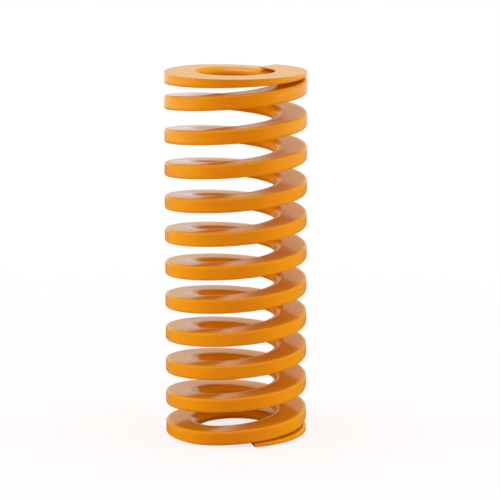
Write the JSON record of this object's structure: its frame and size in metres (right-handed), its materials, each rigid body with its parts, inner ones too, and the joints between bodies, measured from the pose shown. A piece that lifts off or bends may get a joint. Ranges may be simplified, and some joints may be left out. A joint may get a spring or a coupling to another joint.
{
  "type": "die spring",
  "caption": "Compression spring coiled from rolled flat wire, right-handed, closed and ground flat at both ends, enamelled, for a pocket with a guide rod.",
  "frame": {"origin": "centre of the ground bottom face, on the coil's axis", "axes": "+Z along the coil's axis from the bottom face to the top face; -Y towards the viewer, where the strands rise to the right; the wire's bottom tip is at the front right"},
  "size_m": [0.0194, 0.0194, 0.05],
  "materials": {
    "enamel": "gloss"
  },
  "bodies": {
    "root": {"die_spring": "enamel"}
  },
  "joints": []
}
